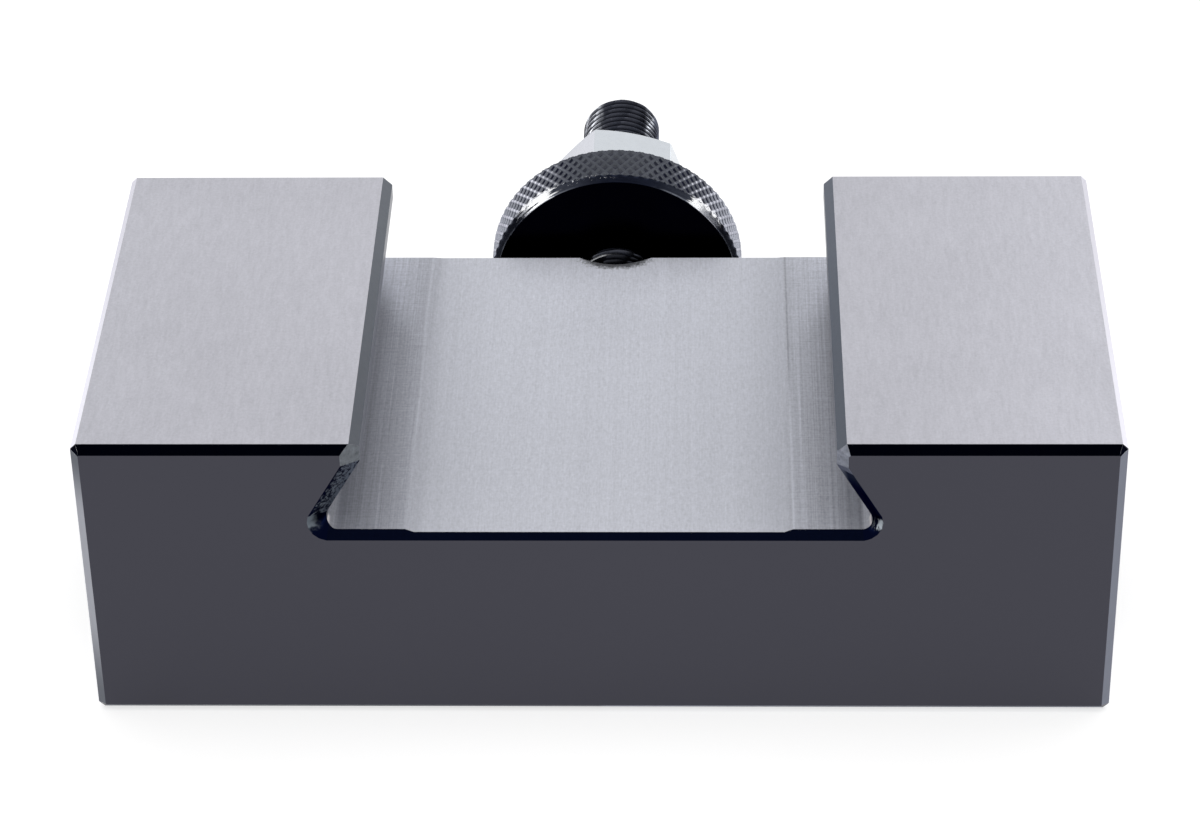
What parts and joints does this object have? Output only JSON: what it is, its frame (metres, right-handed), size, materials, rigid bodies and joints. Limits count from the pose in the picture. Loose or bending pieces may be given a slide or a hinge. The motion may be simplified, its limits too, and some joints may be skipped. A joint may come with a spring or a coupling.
{
  "type": "quick change tool holder",
  "caption": "Dovetail quick change tool holder block for a square tool shank, with a knurled height nut, lock nut and socket clamping screws.",
  "frame": {"origin": "centre of the bounding box's bottom face, on the plane that the outer face of the block lies on", "axes": "+Z out of the dovetail groove, +Y from the lower end of the block along the stud, +X across both jaws"},
  "size_m": [0.1142, 0.0968, 0.0364],
  "materials": {
    "ground_steel": "hardened steel, ground faces",
    "black_oxide": "black oxide on machined steel",
    "bright_plate": "bright zinc plate on steel"
  },
  "bodies": {
    "holder": {"holder_body": "ground_steel", "height_stud": "black_oxide"},
    "knurled_nut": {"knurled_nut": "black_oxide"},
    "lock_nut": {"lock_nut": "bright_plate"},
    "set_screw_1": {"set_screw_1": "black_oxide"},
    "set_screw_2": {"set_screw_2": "black_oxide"},
    "set_screw_3": {"set_screw_3": "black_oxide"},
    "set_screw_4": {"set_screw_4": "black_oxide"}
  },
  "joints": [
    {"name": "knurled_nut_travel", "type": "slide", "parent": "holder", "child": "knurled_nut", "axis": [0, 1, 0], "range_m": [-0.0017, 0.007]},
    {"name": "lock_nut_travel", "type": "slide", "parent": "knurled_nut", "child": "lock_nut", "axis": [0, 1, 0], "range_m": [0, 0.007]},
    {"name": "set_screw_1_travel", "type": "slide", "parent": "holder", "child": "set_screw_1", "axis": [0, -1, 0], "range_m": [-0.004, 0.012]},
    {"name": "set_screw_2_travel", "type": "slide", "parent": "holder", "child": "set_screw_2", "axis": [0, -1, 0], "range_m": [-0.004, 0.012]},
    {"name": "set_screw_3_travel", "type": "slide", "parent": "holder", "child": "set_screw_3", "axis": [0, -1, 0], "range_m": [-0.004, 0.012]},
    {"name": "set_screw_4_travel", "type": "slide", "parent": "holder", "child": "set_screw_4", "axis": [0, -1, 0], "range_m": [-0.004, 0.012]}
  ]
}
